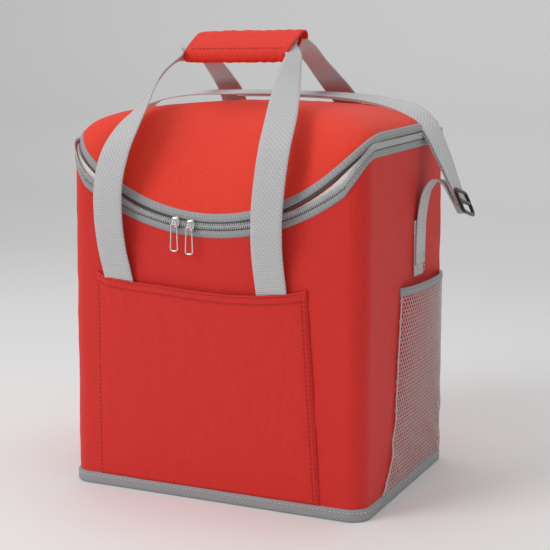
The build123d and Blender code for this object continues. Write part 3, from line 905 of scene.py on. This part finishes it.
def adjuster():
    """Three-bar slide with rounded bars."""
    low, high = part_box("strap_adjuster")
    centre = (np.array(low) + np.array(high)) / 2
    top = np.array([0.2165, centre[1] + 0.004, high[2] - 0.003])
    bottom = np.array([0.2315, centre[1] - 0.004, low[2] + 0.004])
    along = unit(bottom - top)
    across = unit(np.array([0.0, 1.0, -0.12]))
    across = unit(across - along * np.dot(across, along))
    middle = (top + bottom) / 2
    half_l, half_w = 0.0138, 0.0175
    frame_line = []
    for t in np.linspace(0, math.tau, 64, endpoint=False):
        a = math.copysign(abs(math.cos(t)) ** 0.32, math.cos(t)) * half_l
        b = math.copysign(abs(math.sin(t)) ** 0.32, math.sin(t)) * half_w
        frame_line.append(middle + along * a + across * b)
    tube("adjuster_frame", frame_line, 0.0020, BLACK, "shoulder_strap_set", closed=True, sides=12,
         replaces=["strap_adjuster"], slot="black_plastic")
    bar = [middle + across * t for t in np.linspace(-half_w, half_w, 12)]
    tube("adjuster_middle_bar", bar, 0.0021, BLACK, "shoulder_strap_set", slot="black_plastic", sides=12)


# Zip sliders and pulls ------------------------------------------------------
def slider_body(node, pull, side):
    low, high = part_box(node)
    middle = (np.array(low) + np.array(high)) / 2
    body = f"slider_{side}"
    base_y = high[1]
    outer = []
    for scale, depth in ((0.80, 0.0), (0.97, 0.0006), (1.0, 0.0018), (0.95, 0.0030), (0.72, 0.0038)):
        ring = []
        for a in range(36):
            angle = a * math.tau / 36
            taper = 1 - 0.22 * (math.sin(angle) < 0) * abs(math.sin(angle))
            x = math.copysign(abs(math.cos(angle)) ** 0.6, math.cos(angle)) * 0.0050 * scale * taper
            z = math.copysign(abs(math.sin(angle)) ** 0.7, math.sin(angle)) * 0.0062 * scale
            ring.append((middle[0] + x, base_y - depth, middle[2] + z))
        outer.append(ring)
    outer = np.array(outer)
    rows, cols = outer.shape[:2]
    verts = outer.reshape(-1, 3)
    faces = []
    for r in range(rows - 1):
        for c in range(cols):
            d = (c + 1) % cols
            faces.append((r * cols + c, r * cols + d, (r + 1) * cols + d, (r + 1) * cols + c))
    faces.append(tuple(range(cols - 1, -1, -1)))
    faces.append(tuple((rows - 1) * cols + c for c in range(cols)))
    make(f"{node}_metal", verts, faces, NICKEL, body, replaces=[node], slot="nickel")
    bail = []
    for t in np.linspace(0, math.pi, 18):
        bail.append((middle[0], base_y - 0.0036 - 0.0040 * math.sin(t), middle[2] + 0.0036 * math.cos(t)))
    tube(f"{node}_bail", bail, 0.0008, NICKEL, body, slot="nickel")
    p_low, p_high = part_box(pull)
    cx, cy = (p_low[0] + p_high[0]) / 2, (p_low[1] + p_high[1]) / 2
    line = []
    corner = 0.0030
    w = (p_high[0] - p_low[0]) / 2 - 0.0008
    top, bottom = p_high[2] - 0.0008, p_low[2] + 0.0008
    for px, pz, start in ((w - corner, top - corner, 0), (-w + corner, top - corner, 90),
                          (-w + corner, bottom + corner, 180), (w - corner, bottom + corner, 270)):
        for t in np.linspace(0, 90, 8):
            angle = math.radians(start + t)
            narrow = 0.82 if pz > (top + bottom) / 2 else 1.0
            line.append((cx + (px + corner * math.cos(angle)) * narrow, cy, pz + corner * math.sin(angle)))
    tube(f"{pull}_wire", line, 0.00085, NICKEL, f"pull_{side}", closed=True, replaces=[pull], slot="nickel")


# CAD nodes that stay --------------------------------------------------------
def keep_cad_nodes():
    for node, material in (("wall_insulation", FOAM), ("wall_liner", LINER), ("base_panel", BODY_RED),
                           ("base_insulation", FOAM), ("base_liner", LINER)):
        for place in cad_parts[node].material_slots:
            place.material = material


# Studio ---------------------------------------------------------------------
def area_light(name, place, target, size, power, colour=(1, 1, 1)):
    data = bpy.data.lights.new(name, "AREA")
    data.shape = "RECTANGLE"
    data.size, data.size_y = size
    data.energy = power
    data.color = colour
    lamp = bpy.data.objects.new(name, data)
    lamp.location = place
    lamp.rotation_euler = (Vector(target) - Vector(place)).to_track_quat("-Z", "Y").to_euler()
    bpy.context.scene.collection.objects.link(lamp)


def studio():
    size = 6.0
    rows = [(-size, 0), (1.6, 0), (2.2, 0.06), (2.6, 0.3), (2.75, 0.8), (2.8, 3.0)]
    verts = [(x, y, z) for y, z in rows for x in (-size, size)]
    faces = [(2 * i, 2 * i + 1, 2 * i + 3, 2 * i + 2) for i in range(len(rows) - 1)]
    pale = plain("studio_floor", (0.93, 0.93, 0.93), 0.7, amount=0.01)
    floor = make("studio_floor", verts, faces, pale, None)
    world = bpy.data.worlds.new("studio")
    bpy.context.scene.world = world
    world.use_nodes = True
    world.node_tree.nodes["Background"].inputs["Color"].default_value = (1, 1, 1, 1)
    world.node_tree.nodes["Background"].inputs["Strength"].default_value = 0.43
    area_light("key_light", (-1.3, -1.7, 1.7), (0, 0, 0.25), (1.2, 1.2), 23)
    area_light("top_light", (0.0, 0.2, 2.2), (0, 0, 0.3), (1.6, 1.2), 10.5)
    area_light("side_light", (2.0, -0.6, 0.9), (0, 0, 0.3), (1.0, 1.2), 1.5)


def camera():
    azimuth, elevation = math.radians(24.9), math.radians(6.4)
    distance = 1.448
    target = Vector((0.0148, 0, 0.2902))
    direction = Vector((math.sin(azimuth) * math.cos(elevation),
                        -math.cos(azimuth) * math.cos(elevation), math.sin(elevation)))
    data = bpy.data.cameras.new("camera")
    data.sensor_width = 36
    data.lens = 83.5
    data.shift_y = -0.10
    cam = bpy.data.objects.new("camera", data)
    cam.location = target + direction * distance
    cam.rotation_euler = (-direction).to_track_quat("-Z", "Y").to_euler()
    bpy.context.scene.collection.objects.link(cam)
    bpy.context.scene.camera = cam


body_walls()
lid_skins()
zip_line()
base_edge()
front_pocket_face()
side_net()
side_pocket_trim()
handle_legs()
grip_bars()
grip()
shoulder_strap()
adjuster()
slider_body("zip_slider_left", "zip_pull_left", "left")
slider_body("zip_slider_right", "zip_pull_right", "right")
keep_cad_nodes()
studio()
camera()
bpy.context.scene.view_settings.view_transform = "Standard"
